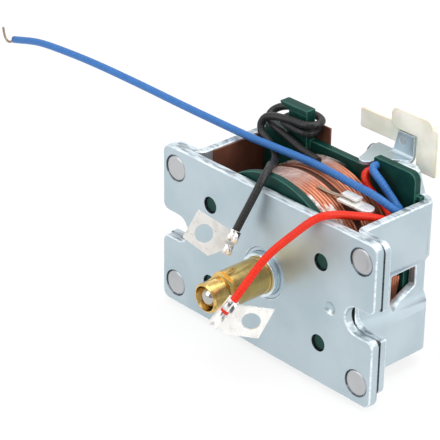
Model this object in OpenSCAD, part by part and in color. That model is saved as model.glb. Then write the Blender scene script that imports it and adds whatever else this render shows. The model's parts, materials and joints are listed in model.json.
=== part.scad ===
// Push-type starter solenoid with an open yoke frame, two windings, a sprung plunger and a release lever.
// Millimetres. X runs across the plate, Y from the push sleeve towards the back, Z up.

/* [Front plate] */
// Width of the front plate
plate_w = 86; // [82:1:96]
// Height of the front plate
plate_h = 50.8; // [49:0.2:56]
// Thickness of the front plate
plate_t = 3; // [2.4:0.1:4]
// Radius of the plate's outer corners
plate_corner_r = 2.6; // [1:0.1:4]
// Radius of the through-bolt notch in each side edge
notch_r = 4.2; // [3.4:0.1:4.6]
// Distance from the side edge to the notch's centre
notch_in = 6.5; // [5:0.1:7.4]
// Radius of the rounded ears beside each notch
ear_r = 2.4; // [1:0.1:3]
// Radius of the plate's centre hole
plate_hole_r = 7.7; // [7.4:0.1:8.2]

/* [Plate rivets] */
// Distance from the side edge to a rivet's centre
rivet_in = 5.5; // [5:0.1:6]
// Height of the rivets above and below the plunger axis
rivet_z = 19; // [17.5:0.1:19.6]
// Radius of a rivet's swaged head
rivet_head_r = 3.9; // [3:0.1:4.2]
// Radius of a rivet's shank
rivet_shank_r = 2.5; // [1.8:0.1:2.8]

/* [Yoke frame] */
// Thickness of the yoke's sheet
sheet_t = 2.7; // [2:0.1:3]
// Width over the yoke's side walls
yoke_w = 67.2; // [66:0.2:69]
// Depth from the plate's back face to the yoke's rear face
yoke_depth = 31; // [29:0.5:36]
// Height of the yoke's walls
yoke_h = 47.4; // [46:0.2:48.6]
// How far the yoke's middle sits above the plunger axis
yoke_rise = 1.2; // [0.6:0.1:1.6]
// Depth of the pressed channel that clears a through bolt
channel_depth = 2.9; // [2:0.1:3]
// Height of the channel's flat floor
channel_floor = 9.4; // [8.6:0.2:10]
// Height of each sloping side of the channel
channel_slope = 4.2; // [3:0.1:5]
// Length of the window in each channel
window_len = 9.8; // [6:0.2:11]

/* [Coil] */
// Radius over the windings
winding_r = 26.6; // [25.5:0.1:26.8]
// Radius of the bobbin's round front flange
flange_r = 29; // [28.6:0.1:29.6]
// Thickness of the bobbin's flanges
flange_t = 2.4; // [1.8:0.1:3]
// Thickness of the divider between the two windings
divider_t = 2.1; // [2:0.1:3.4]
// Radius of the bobbin pegs that locate in the plate
peg_r = 2.2; // [1.6:0.1:2.4]
// Sideways distance of the pegs from the plunger axis
peg_x = 22.5; // [20:0.1:24]
// Height of the pegs above and below the plunger axis
peg_z = 12.8; // [11:0.1:14]

/* [Plunger] */
// Radius of the plunger's body
plunger_r = 8.4; // [8.2:0.05:8.6]
// Radius of the plunger's front spigot
spigot_r = 6.6; // [6.4:0.05:6.7]
// Radius of the plunger's tail
tail_r = 5; // [4.6:0.05:5.4]
// Travel of the plunger
stroke = 7.5; // [6:0.1:7.6]
// Radius of the brass push sleeve's barrel
barrel_r = 5.5; // [5:0.05:5.7]
// Radius of the push sleeve's nose
nose_r = 4.4; // [4.2:0.05:4.6]
// Length of the nose
nose_len = 5.8; // [5.6:0.1:8]
// How far the nose stands out from the plate at rest
nose_reach = 22.3; // [20:0.1:26]
// Radius of the thrust ball
ball_r = 3.15; // [2.8:0.05:3.3]
// Radius of the striker disc on the tail
disc_r = 12; // [11.6:0.1:12.4]

/* [Release lever] */
// Width of the lever's tongue
tongue_w = 5.2; // [4:0.1:5.4]
// Thickness of the lever's strip
lever_t = 1.2; // [1:0.1:2.2]
// Radius of the lever's pivot pin
pin_r = 1.5; // [1.2:0.05:1.7]

/* [Leads] */
// Radius of a lead's sleeve
lead_r = 1.15; // [0.9:0.05:1.2]
// Thickness of the flag terminals
flag_t = 0.8; // [0.6:0.1:1]
// Radius of the hole in a flag terminal
flag_hole_r = 2.65; // [2:0.05:2.8]

/* [Hidden] */
$fn = 48;
// overlap of shapes that are joined or cut
lap = 1;
// overlap where a larger one would show
hair = 0.01;
// radial play of a shaft that runs in a hole
run_gap = 0.05;
// plain clearance between pieces that only pass each other
side_gap = 0.3;
board_t = 0.5;
peg_play = 0.4;
swage_gap = 0.3;
rivet_dish_r = 12;
rivet_dish = 0.4;
dimple_r = 2.6;
dimple_lift = 1.6;
dimple_x = peg_x + 4.1;

wall_out = yoke_w / 2;
wall_in = wall_out - sheet_t;
yoke_rear = plate_t + yoke_depth;
rear_in = yoke_rear - sheet_t;
yoke_top = yoke_rise + yoke_h / 2;
yoke_low = yoke_rise - yoke_h / 2;
foot_bend_r = 1.2;
foot_corner_r = 2.8;
corner_out_r = 3.5;
foot_y = plate_t + sheet_t;
bolt_x = plate_w / 2 - notch_in;
rivet_x = plate_w / 2 - rivet_in;
rivet_tail_r = 2.7;
rivet_tail_t = 1.3;
rivet_seat = 1.5;
channel_half = channel_floor / 2 + channel_slope;
channel_in = wall_out - channel_depth - sheet_t;
channel_pitch = channel_slope / channel_depth;
// the pressed sheet keeps its thickness on the sloping sides
bulge_floor = channel_floor / 2 + sheet_t * (sqrt(1 + channel_pitch * channel_pitch) - channel_pitch);
bulge_half = bulge_floor + channel_slope;
foot_notch_r = notch_r + 0.4;
// height of the window's upper edge, and depth of the front and rear ends of its lower edge
window_top = channel_floor / 2 - 0.6;
window_front_low = channel_floor / 2 + 2.1;
window_rear_low = channel_floor / 2 - 2.6;
window_end = rear_in - 1.5;
window_start = window_end - window_len;

flange_play = 0.4;
flange_y = plate_t + side_gap;
coil_y = flange_y + flange_t;
back_flange_end = rear_in - board_t - 0.2;
back_flange_y = back_flange_end - flange_t;
winding_len = (back_flange_y - coil_y - divider_t) / 2;
divider_y = coil_y + winding_len;
rear_coil_y = divider_y + divider_t;
flange_half = wall_in - board_t - flange_play;
base_z = winding_r + 0.6;
flange_top = 28.7;
side_relief = channel_in - 0.4;
relief_half = bulge_half + 0.4;
rear_low = -20;
stand_half = 18;
tab_left = 14;
tab_top = 32.8;
tab_corner_r = 2.6;
// the tab's left corner is sharper
tab_left_r = 0.8;
tab_left_w = 6;
horn_left = 20;
horn_right = 29.6;
horn_lean = 4;
horn_chamfer = 1.2;
horn_top = tab_top - 0.5;
// shoulder beside the tab, through which two leads come out
shoulder_left = 10.4;
shoulder_top = 29.6;
shoulder_r = 1.2;
over_wall = yoke_top + 0.2;
stub_top = 26.4;
// cleat post: its cap overhangs to the left as a hook
post_left = -18.6;
post_right = -11;
post_front = 26.6;
post_back = 29.9;
cap_left = -21.9;
cap_right = -10.9;
cap_front = 26.3;
cap_low = 36.5;
cap_top = 38.3;
cap_land = 0.6;
cap_undercut = 2;
stub_gap = 1.9;
stub_inset = 0.6;
peg_tip = 0.7;
film_t = 0.15;
film_margin = 0.4;
front_film_start = 80;
front_film_span = 100;
rear_film_start = 86;
rear_film_span = 94;
divider_sink = 0.4;
divider_left = 14;
divider_right = 19.6;
divider_low = 10;
divider_top = 24.4;
clip_left = 15;
clip_len = 11.6;
clip_w = 4.4;
clip_back = 1.4;
clip_t = 0.7;
wing_len = 5.8;
wing_w = 2.8;
wing_h = 1.9;
board_low = bulge_half + 1.5;
// flap of the board that stands up behind the post
flap_left = -19;
flap_top = 33.5;
board_right = -5.6;
board_setback = 3;
// chamfers of the board's fold, which clears the yoke's inner bend
board_fold_out = corner_out_r - sheet_t;
board_fold_in = board_fold_out - board_t * (2 - sqrt(2));

guide_bore_r = plunger_r + run_gap;
guide_out_r = guide_bore_r + 0.55;
bobbin_bore_r = guide_out_r + 0.05;
bobbin_tube_r = bobbin_bore_r + 1.5;
pole_bore_r = spigot_r + run_gap;
pole_end = plate_t + 3;
spigot_front = -2;
// length left to the spring at full stroke
spring_closed = 7;
plunger_len = 8.5;
plug_depth = plate_t - 0.3;
plunger_front = pole_end + stroke + spring_closed;
plunger_back = plunger_front + plunger_len;
sleeve_in = 10;
spring_wire_r = 0.5;
spring_mean_r = (spigot_r + guide_bore_r) / 2;
spring_turns = 5;
bush_bore_r = tail_r + run_gap;
step_y = -nose_reach + nose_len;
ball_y = -nose_reach + ball_r;
ball_bore_r = ball_r + run_gap;
nose_hole_r = 0.9;
nose_hole_back = 2.2;
nose_hole_turn = 35;
oil_way_r = 2;
flat_len = 1.6;
flat_turn = 15;
lip = 0.5;
mouth_r = ball_r - 0.1;

pivot_y = yoke_rear + 6;
pivot_z = 26.5;
tongue_x = 6;
tongue_end = tongue_x + tongue_w;
tongue_z = shoulder_top + side_gap;
// the sheet narrows to a round tip over the bobbin's shoulder
tip_x = 11.1;
tip_y = 28.6;
tip_r = tongue_w / 2 - 0.3;
sheet_left = tongue_x;
sheet_right = 20.4;
sheet_waist = 13.7;
sheet_waist_y = 31.2;
sheet_wide_y = 36.2;
sheet_bend_r = 1;
sheet_knee = tongue_z + lever_t;
sheet_knee_x = 12.4;
sheet_top = 38;
sheet_top_x = 14.2;
hub_r = 2 * pin_r;
hub_bore_r = pin_r + run_gap;
arm_y = pivot_y + 2.6;
arm_end = arm_y + 2.2;
arm_low = 9;
arm_half = 5;
arm_tip_h = 4.4;
arm_knee = 19;
arm_web = 3;
arm_rise = 2;
pad_z = 10.5;
pad_r = 0.7;
disc_y = arm_end + pad_r + 0.4;
disc_t = 1.8;
disc_seat_r = tail_r - 0.5;
ring_t = 1;
ring_groove_r = disc_seat_r - 0.6;
ring_out_r = disc_seat_r + 1.2;
tail_end = disc_y + disc_t + ring_t + 1.3;
ear_t = 1.8;
ear_left = tongue_x - 0.6 - ear_t;
ear_right = tongue_end + 0.6;
ear_boss_r = 2.5;
base_t = 2;
base_low = 16.5;
base_top = 24.4;
ear_top = 1;
ear_neck = 1.5;
stud_z = 19.5;
stud_r = 1.4;
stud_head_r = 2.4;
stud_head_t = 1;
stud_in = 2;
ear_low = stud_z + stud_head_r + 0.2;
stud_places = [ear_left + stud_in, ear_right + ear_t - stud_in];
pin_left = ear_left - 1.4;
pin_right = ear_right + ear_t + 1.6;
pin_head_r = 2.4;
pin_clip_t = 0.7;
pin_clip_gap = 1.4;
pin_neck_r = pin_r - 0.4;
finger_y = pivot_y - 1.2;
finger_t = 2.6;
finger_back = finger_y + finger_t;
upright_y = finger_y - lever_t;
finger_stud_r = 1.1;
finger_head_r = 2;
finger_head_t = 0.8;
finger_stud_x = 16;
finger_stud_z = 35.2;
finger_left = -1.7;
finger_right = 26.8;
finger_low = 28.1;
bar_low = 33.3;
bar_top = 39.4;
bar_right = 18.5;
bridge_front = finger_y - 1.4;
bridge_back = finger_back - 1.2;
bridge_left = 11.4;
bridge_low = 38.3;
finger_top = 44.6;
leg_w = 5.4;
leg_right = 29;
leg_top = 42.5;
bridge_r = 2.4;
bar_r = 0.8;

mid_y = (tail_end - nose_reach) / 2;

// routes of the leads, from the coil to the free end
blue_route = [
    [15.6, back_flange_y, 30.7], [15.6, 26.8, 30.7], [16.7, 25.4, 30.4], [18.4, 24.9, 29.6], [20.6, 25, 28],
    [23.2, 25.3, 25.5], [25.8, 25.4, 23.3], [28, 24.6, 22.7], [29.3, 23, 23], [29.4, 21.2, 24.2],
    [28.2, 19.8, 25.6], [26, 19.1, 26.7], [22, 19, 27.3], [14, 19, 27.6],
    [6, 19, 28.1], [-2, 19, 28.2], [-10, 19, 27.9], [-18, 19, 27.5], [-26.5, 19, 27.1],
    [-38, 19, 27], [-56, 19, 27], [-76, 19, 27.2], [-96, 19, 27.1], [-112, 19, 26.4],
    [-126, 19, 25.1], [-139, 19, 22]
];
wire_route = [
    [-138, 19, 22.3], [-139, 19, 22], [-140.6, 19, 20.8], [-142.2, 19, 20.3],
    [-143.6, 19, 21], [-144.4, 19, 22.6], [-144.7, 19, 24.6]
];
red_route = [
    [13.5, back_flange_y, 28.4], [13.5, 26.7, 28.4], [13.8, 25.3, 27.9], [14.7, 24.6, 26.7], [16, 24.5, 25.2],
    [17.8, 24.5, 23.9], [20.2, 24.4, 22.9], [23, 23.9, 22], [25.8, 22.6, 21.4], [27.9, 20.8, 21.3],
    [29.1, 18.6, 21.9], [29.4, 16.4, 23], [29.1, 14.2, 24], [28.2, 11.8, 24.9], [27, 9.4, 25.5],
    [25.9, 7, 26.1], [24.8, 4, 26.9], [23.4, 0.8, 27.2], [21.6, -1.4, 26.3], [19.4, -3.1, 24.1],
    [16.6, -4.8, 20.8],
    [14.2, -6.6, 17.8], [12.6, -9, 15.2], [11.6, -12, 12.4], [11.1, -15, 9.4], [10.6, -18, 6.2],
    [10, -20.5, 3.3], [9.1, -21.5, 1.3]
];
black_route = [
    [-1, 21.6, 27.9], [-3, 21.9, 27.9], [-6, 22.5, 27.9], [-10, 23.3, 28], [-14.5, 24.2, 28.6],
    [-18.5, 24.9, 29.2], [-22.2, 25.2, 29.8], [-25.2, 25.8, 30.5], [-27, 27.1, 31.4], [-27.3, 28.9, 32.4],
    [-26, 30.6, 33.4], [-23.2, 31.5, 34.3], [-19.5, 31.7, 34.8], [-14.5, 31.7, 35], [-11, 31.5, 35],
    [-8.8, 30.4, 34.9], [-8, 28.4, 34.8], [-8.8, 26.4, 34.7], [-11, 25.2, 34.6], [-15, 25.1, 34.4],
    [-18.8, 24.8, 34], [-22.4, 24.2, 33.6], [-25, 23.6, 32.5], [-26.1, 23, 30.3], [-25.1, 22.4, 28.1],
    [-22.6, 22, 26.9], [-19.4, 21.2, 25.8], [-16, 19.2, 25.1], [-13.6, 16.6, 25.1], [-11.2, 13.6, 25.8],
    [-8.8, 10.6, 27.4], [-6, 7.6, 29.3], [-3.4, 4.6, 30.3], [-1.8, 1.8, 30], [-1.2, -0.6, 28.2],
    [-1.5, -2.6, 25], [-3.3, -4.3, 19.4], [-5.7, -5.5, 13.2], [-5.6, -6.9, 11.2]
];
wire_r = 0.4;
crimp_r = 1.6;
grip_len = 3.4;
strap_w = 2.6;
inner_grip_r = crimp_r - 0.4;
inner_grip_drop = 0.3;
inner_grip_gap = 1;
inner_grip_end = 0.4;
lead_seat_r = lead_r - 0.1;
lead_seat_len = 2.6;
// the flags face this way round the vertical, the black one tipped back
flag_turn = 47.3;
black_tilt = 62.4;
black_outline = [[-0.4, -1.6], [-2.2, 0.6], [-10.6, 5.7], [-14.9, -2], [-7.8, -7.2], [-3.4, -5.6]];
black_hole = [-8.9, -0.9];
black_crimp_turn = -112.3;
black_crimp_len = 7.4;
red_outline = [[-1.2, -1.8], [11.1, -3.6], [6.9, -12.6], [-2.2, -11.4], [-5, -8]];
red_hole = [4.8, -7.2];
red_crimp_turn = -124.7;
red_crimp_len = 10.4;

// axis frame to the row frame: middle of the length, standing on the flanges
module place() {
    translate([0, -mid_y, base_z])
        children();
}

// round bar along Y
module rod(r, from, to) {
    translate([0, from, 0])
        rotate([-90, 0, 0])
            cylinder(r = r, h = to - from);
}

// round sleeve along Y
module sleeve(r_out, r_in, from, to) {
    difference() {
        rod(r_out, from, to);
        rod(r_in, from - lap, to + lap);
    }
}

// outline in X and Z, extruded along Y
module slab(from, to) {
    translate([0, to, 0])
        rotate([90, 0, 0])
            linear_extrude(to - from)
                children();
}

module box(x0, x1, y0, y1, z0, z1) {
    translate([x0, y0, z0])
        cube([x1 - x0, y1 - y0, z1 - z0]);
}

module both_sides() {
    children();
    mirror([1, 0, 0])
        children();
}

module at_corners(x, z) {
    for (sx = [-1, 1])
        for (sz = [-1, 1])
            translate([sx * x, 0, sz * z])
                children();
}

// rectangle with round corners
module round_rect(x0, x1, z0, z1, r) {
    translate([x0 + r, z0])
        square([x1 - x0 - 2 * r, z1 - z0]);
    translate([x0, z0 + r])
        square([x1 - x0, z1 - z0 - 2 * r]);
    for (x = [x0 + r, x1 - r])
        for (z = [z0 + r, z1 - r])
            translate([x, z])
                circle(r);
}

// a quarter of a ring, centred on the origin, towards +X and +Y
module quarter_ring(r_out, r_in) {
    intersection() {
        difference() {
            circle(r_out);
            circle(r_in);
        }
        square(r_out + lap);
    }
}

// notch for a through bolt, open at the right side edge
module bolt_notch(r) {
    edge = plate_w / 2;
    translate([bolt_x, 0])
        circle(r);
    translate([bolt_x, -r])
        square([notch_in + lap, 2 * r]);
    for (s = [-1, 1])
        difference() {
            translate([edge - ear_r, s > 0 ? r - hair : -r - ear_r + hair])
                square([ear_r + lap, ear_r]);
            translate([edge - ear_r, s * (r + ear_r)])
                circle(ear_r);
        }
}

module front_plate() {
    color([0.73, 0.80, 0.83])
        place()
            difference() {
                slab(0, plate_t)
                    difference() {
                        round_rect(-plate_w / 2, plate_w / 2, -plate_h / 2, plate_h / 2, plate_corner_r);
                        circle(plate_hole_r);
                        bolt_notch(notch_r);
                        mirror([1, 0])
                            bolt_notch(notch_r);
                        for (x = [-peg_x, peg_x])
                            for (z = [-peg_z, peg_z])
                                translate([x, z])
                                    circle(peg_r + peg_play);
                    }
                at_corners(rivet_x, rivet_z) {
                    rod(rivet_head_r + swage_gap, -lap, rivet_seat);
                    rod(rivet_shank_r, -lap, plate_t + lap);
                }
                translate([dimple_x, -dimple_lift, 0])
                    sphere(dimple_r);
            }
}

module yoke_plan_half() {
    translate([wall_in, foot_y + foot_bend_r])
        square([sheet_t, yoke_rear - corner_out_r - foot_y - foot_bend_r]);
    translate([-lap, rear_in])
        square([wall_out - corner_out_r + lap, sheet_t]);
    translate([wall_out - corner_out_r, yoke_rear - corner_out_r])
        quarter_ring(corner_out_r, corner_out_r - sheet_t);
    translate([wall_out + foot_bend_r, foot_y + foot_bend_r])
        rotate(180)
            quarter_ring(foot_bend_r + sheet_t, foot_bend_r);
}

// trapezium of the pressed channel, reach measured inwards from the wall's outer face
module channel_shape(outer_x, inner_x, outer_half, inner_half) {
    polygon([
        [outer_x, outer_half],
        [inner_x, inner_half],
        [inner_x, -inner_half],
        [outer_x, -outer_half]
    ]);
}

module yoke_half() {
    difference() {
        union() {
            translate([0, 0, yoke_low])
                linear_extrude(yoke_h)
                    yoke_plan_half();
            slab(plate_t, foot_y)
                intersection() {
                    round_rect(0, plate_w / 2, yoke_low, yoke_top, foot_corner_r);
                    translate([wall_out + foot_bend_r, yoke_low])
                        square([plate_w, yoke_h]);
                }
            slab(foot_y + foot_bend_r, rear_in + lap)
                channel_shape(wall_in, channel_in, bulge_half, bulge_floor);
        }
        // hollow of the channel
        slab(foot_y + foot_bend_r - lap, yoke_rear + lap)
            channel_shape(wall_out + lap, wall_out - channel_depth,
                channel_half + lap * channel_pitch, channel_floor / 2);
        // clearance of the through bolt in the foot and its bend
        slab(plate_t - lap, foot_y + foot_bend_r)
            union() {
                translate([bolt_x, 0])
                    circle(foot_notch_r);
                translate([bolt_x, -foot_notch_r])
                    square([notch_in + lap, 2 * foot_notch_r]);
            }
        // window, its lower edge rising towards the back
        translate([channel_in - lap, 0, 0])
            rotate([90, 0, 90])
                linear_extrude(wall_out - channel_in + lap)
                    polygon([
                        [window_start, window_top],
                        [window_end, window_top],
                        [window_end, -window_rear_low],
                        [window_start, -window_front_low]
                    ]);
    }
}

module yoke_frame() {
    color([0.71, 0.79, 0.83])
        place()
            difference() {
                union() {
                    both_sides()
                        yoke_half();
                    // raised part behind the bobbin's tab
                    slab(rear_in, yoke_rear)
                        polygon([
                            [horn_left, yoke_top - lap],
                            [horn_left, horn_top],
                            [horn_right - horn_lean, horn_top],
                            [horn_right - horn_lean + horn_chamfer, horn_top - horn_chamfer],
                            [horn_right, yoke_top - lap]
                        ]);
                }
                rod(guide_out_r, rear_in - lap, yoke_rear + lap);
                at_corners(rivet_x, rivet_z)
                    rod(rivet_shank_r, plate_t - lap, foot_y + lap);
                for (x = stud_places)
                    translate([x, 0, stud_z])
                        rod(stud_r, rear_in - lap, yoke_rear + lap);
            }
}

module plate_rivets() {
    color([0.70, 0.77, 0.80])
        place()
            at_corners(rivet_x, rivet_z)
                difference() {
                    union() {
                        rod(rivet_head_r, 0, rivet_seat);
                        rod(rivet_shank_r, 0, foot_y + rivet_tail_t);
                        rod(rivet_tail_r, foot_y, foot_y + rivet_tail_t);
                    }
                    translate([0, rivet_dish - rivet_dish_r, 0])
                        sphere(rivet_dish_r);
                }
}

// room for the pressed channels, cut from both sides of a flange
module flange_sides() {
    for (s = [-1, 1])
        translate([s > 0 ? side_relief : -side_relief - sheet_t - channel_depth, -relief_half])
            square([sheet_t + channel_depth, 2 * relief_half]);
}

module coil_bobbin() {
    color([0.10, 0.32, 0.29])
        place()
            difference() {
                union() {
                    rod(bobbin_tube_r, flange_y, back_flange_end);
                    slab(flange_y, coil_y)
                        difference() {
                            intersection() {
                                circle(flange_r);
                                translate([-flange_half, -base_z])
                                    square([2 * flange_half, 2 * flange_r]);
                            }
                            flange_sides();
                        }
                    slab(back_flange_y, back_flange_end)
                        difference() {
                            union() {
                                round_rect(-flange_half, flange_half, rear_low, flange_top, lap);
                                translate([-stand_half, -base_z])
                                    square([2 * stand_half, base_z]);
                                round_rect(tab_left, flange_half, 0, tab_top, tab_corner_r);
                                round_rect(tab_left, tab_left + tab_left_w, 0, tab_top, tab_left_r);
                                round_rect(shoulder_left, flange_half, 0, shoulder_top, shoulder_r);
                            }
                            flange_sides();
                        }
                    // stub over the side wall
                    box(flange_half - lap, wall_out - stub_gap, back_flange_y + stub_inset, back_flange_end,
                        over_wall, stub_top);
                    // cleat post: stem and hooked cap
                    box(post_left, post_right, post_front, post_back, flange_top - flange_t, cap_low + lap);
                    slab(cap_front, post_back)
                        polygon([
                            [cap_left, cap_top],
                            [cap_right, cap_top],
                            [cap_right, cap_low],
                            [cap_left + cap_undercut, cap_low],
                            [cap_left, cap_top - cap_land]
                        ]);
                    at_corners(peg_x, peg_z)
                        rod(peg_r, peg_tip, flange_y + lap);
                }
                rod(bobbin_bore_r, flange_y - lap, back_flange_end + lap);
            }
}

module winding(from, to) {
    sleeve(winding_r, bobbin_tube_r, from, to);
}

module pull_in_winding() {
    color([0.78, 0.49, 0.35])
        place()
            winding(coil_y, divider_y);
}

module hold_in_winding() {
    color([0.76, 0.47, 0.33])
        place()
            winding(rear_coil_y, back_flange_y);
}

// thin film wrapped round part of a winding, angles measured from +X towards +Z
module film_wrap(from, to, start, span) {
    translate([0, to, 0])
        rotate([90, 0, 0])
            rotate([0, 0, start])
                rotate_extrude(angle = span)
                    translate([winding_r, 0])
                        square([film_t, to - from]);
}

module front_film() {
    color([0.82, 0.78, 0.76, 0.4])
        place()
            film_wrap(coil_y + film_margin, divider_y - film_margin, front_film_start, front_film_span);
}

module rear_film() {
    color([0.82, 0.78, 0.76, 0.4])
        place()
            film_wrap(rear_coil_y + film_margin, back_flange_y - film_margin,
                rear_film_start, rear_film_span);
}

module coil_divider() {
    color([0.10, 0.09, 0.08])
        place()
            slab(divider_y, rear_coil_y)
                difference() {
                    union() {
                        circle(winding_r - divider_sink);
                        translate([divider_left, divider_low])
                            square([divider_right - divider_left, divider_top - divider_low]);
                    }
                    circle(bobbin_tube_r);
                }
}

module insulation_board() {
    left = -wall_in;
    front = foot_y + board_setback;
    inner = left + board_t;
    back = rear_in - board_t;
    color([0.36, 0.21, 0.15])
        place()
            union() {
                // folded strip inside the wall and the rear web
                translate([0, 0, board_low])
                    linear_extrude(yoke_top - swage_gap - board_low)
                        polygon([
                            [left, front],
                            [inner, front],
                            [inner, back - board_fold_in],
                            [inner + board_fold_in, back],
                            [board_right, back],
                            [board_right, rear_in],
                            [left + board_fold_out, rear_in],
                            [left, rear_in - board_fold_out]
                        ]);
                // taller rear part that stands up behind the post
                box(flap_left, board_right, back, rear_in, board_low, flap_top);
            }
}

module pole_core() {
    color([0.45, 0.47, 0.48])
        place()
            difference() {
                union() {
                    rod(plate_hole_r, plate_t - plug_depth, plate_t + lap);
                    rod(guide_out_r, plate_t, pole_end);
                }
                rod(pole_bore_r, 0, pole_end + lap);
            }
}

module guide_tube() {
    color([0.69, 0.55, 0.28])
        place()
            sleeve(guide_out_r, guide_bore_r, pole_end, plunger_back);
}

module rear_bush() {
    color([0.66, 0.52, 0.27])
        place()
            sleeve(guide_out_r, bush_bore_r, plunger_back, yoke_rear);
}

module plunger() {
    color([0.74, 0.80, 0.83])
        place()
            difference() {
                union() {
                    rod(spigot_r, spigot_front, plunger_front + lap);
                    rod(plunger_r, plunger_front, plunger_back);
                    rod(tail_r, plunger_back - lap, disc_y);
                    rod(disc_seat_r, disc_y - lap, tail_end);
                }
                rod(barrel_r, spigot_front - lap, sleeve_in);
                sleeve(disc_seat_r + lap, ring_groove_r, disc_y + disc_t, disc_y + disc_t + ring_t);
            }
}

module push_sleeve() {
    flat_half = nose_r + 0.35;
    color([0.72, 0.58, 0.30])
        place()
            difference() {
                union() {
                    rod(barrel_r, step_y + flat_len, sleeve_in);
                    // six milled flats at the step
                    intersection() {
                        rod(barrel_r, step_y, step_y + flat_len + lap);
                        translate([0, step_y, 0])
                            rotate([-90, flat_turn, 0])
                                cylinder(r = flat_half / cos(30), h = flat_len + lap, $fn = 6);
                    }
                    rod(nose_r, -nose_reach + lip, step_y + lap);
                    translate([0, -nose_reach, 0])
                        rotate([-90, 0, 0])
                            cylinder(r1 = nose_r - lip, r2 = nose_r, h = lip);
                }
                rod(ball_bore_r, ball_y, ball_y + ball_bore_r);
                translate([0, ball_y, 0])
                    sphere(ball_bore_r);
                // mouth rolled over the ball
                rod(mouth_r, -nose_reach - lap, ball_y);
                // cross hole through the nose
                translate([0, step_y - nose_hole_back, 0])
                    rotate([0, -nose_hole_turn, 0])
                        cylinder(r = nose_hole_r, h = barrel_r + lap);
                // oil way along the axis
                rod(oil_way_r, ball_y, sleeve_in + lap);
            }
}

module thrust_ball() {
    color([0.55, 0.56, 0.57])
        place()
            translate([0, ball_y, 0])
                sphere(ball_r);
}

function spring_ring(turn, count, length, from) =
    let (a = 360 * turn, y = from + spring_wire_r + (length - 2 * spring_wire_r) * turn / spring_turns)
    [for (i = [0 : count - 1])
        let (b = 360 * i / count, r = spring_mean_r + spring_wire_r * cos(b))
        [r * cos(a), y + spring_wire_r * sin(b), r * sin(a)]];

// tube skin over rings of equal size: side faces, then the two end caps
function tube_faces(rings, count) = concat(
    [for (k = [0 : rings - 2])
        for (i = [0 : count - 1])
            let (j = (i + 1) % count)
            [k * count + i, (k + 1) * count + i, (k + 1) * count + j, k * count + j]],
    [[for (i = [0 : count - 1]) i]],
    [[for (i = [count - 1 : -1 : 0]) (rings - 1) * count + i]]
);

module return_spring() {
    steps = 12 * spring_turns;
    sides = 6;
    length = plunger_front - pole_end;
    points = [for (k = [0 : steps])
        each spring_ring(k * spring_turns / steps, sides, length, pole_end)];
    color([0.50, 0.52, 0.53])
        place()
            polyhedron(points, tube_faces(steps + 1, sides), convexity = 10);
}

module striker_disc() {
    color([0.62, 0.66, 0.68])
        place()
            sleeve(disc_r, disc_seat_r, disc_y, disc_y + disc_t);
}

module retaining_ring() {
    color([0.25, 0.26, 0.27])
        place()
            difference() {
                sleeve(ring_out_r, ring_groove_r, disc_y + disc_t, disc_y + disc_t + ring_t);
                box(-ring_t, ring_t, disc_y, tail_end, -disc_r, 0);
            }
}

module lever_bracket() {
    color([0.68, 0.75, 0.79])
        place()
            difference() {
                union() {
                    box(ear_left, ear_right + ear_t, yoke_rear, yoke_rear + base_t, base_low, base_top);
                    for (x = [ear_left, ear_right]) {
                        box(x, x + ear_t, yoke_rear, pivot_y, pivot_z - ear_boss_r, pivot_z + ear_top);
                        box(x, x + ear_t, yoke_rear, pivot_y - ear_neck, ear_low, pivot_z);
                        translate([x, pivot_y, pivot_z])
                            rotate([0, 90, 0])
                                cylinder(r = ear_boss_r, h = ear_t);
                    }
                }
                translate([ear_left - lap, pivot_y, pivot_z])
                    rotate([0, 90, 0])
                        cylinder(r = pin_r, h = ear_right - ear_left + ear_t + 2 * lap);
                for (x = stud_places)
                    translate([x, 0, stud_z])
                        rod(stud_r, yoke_rear - lap, yoke_rear + base_t + lap);
            }
}

module bracket_rivets() {
    color([0.66, 0.72, 0.75])
        place()
            for (x = stud_places)
                translate([x, 0, stud_z]) {
                    rod(stud_r, rear_in, yoke_rear + base_t + stud_head_t / 2);
                    translate([0, yoke_rear + base_t, 0])
                        rotate([-90, 0, 0])
                            cylinder(r1 = stud_head_r, r2 = stud_r, h = stud_head_t);
                }
}

module lever_pin() {
    color([0.60, 0.63, 0.65])
        place()
            difference() {
                translate([0, pivot_y, pivot_z])
                    rotate([0, 90, 0]) {
                        translate([0, 0, pin_left])
                            cylinder(r = pin_head_r, h = ear_left - pin_left);
                        translate([0, 0, pin_left])
                            cylinder(r = pin_r, h = pin_right - pin_left);
                    }
                translate([ear_right + ear_t, pivot_y, pivot_z])
                    rotate([0, 90, 0])
                        difference() {
                            cylinder(r = pin_r + lap, h = pin_clip_t);
                            cylinder(r = pin_neck_r, h = pin_clip_t);
                        }
            }
}

module pin_clip() {
    color([0.28, 0.29, 0.30])
        place()
            translate([ear_right + ear_t, pivot_y, pivot_z])
                rotate([0, 90, 0])
                    difference() {
                        cylinder(r = pin_head_r, h = pin_clip_t);
                        translate([0, 0, -lap])
                            cylinder(r = pin_neck_r, h = pin_clip_t + 2 * lap);
                        translate([0, -pin_clip_gap / 2, -lap])
                            cube([pin_head_r + lap, pin_clip_gap, pin_clip_t + 2 * lap]);
                    }
}

// sheet of the lever seen from the side: flat over the shoulder, bent up behind it
module lever_profile() {
    bend_out = sheet_bend_r + lever_t;
    translate([tip_y - tip_r - lap, tongue_z])
        square([finger_y - bend_out - tip_y + tip_r + lap, lever_t]);
    translate([finger_y - bend_out, tongue_z + bend_out])
        mirror([0, 1])
            quarter_ring(bend_out, sheet_bend_r);
    translate([upright_y, tongue_z + bend_out])
        square([lever_t, sheet_top - tongue_z - bend_out]);
}

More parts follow.
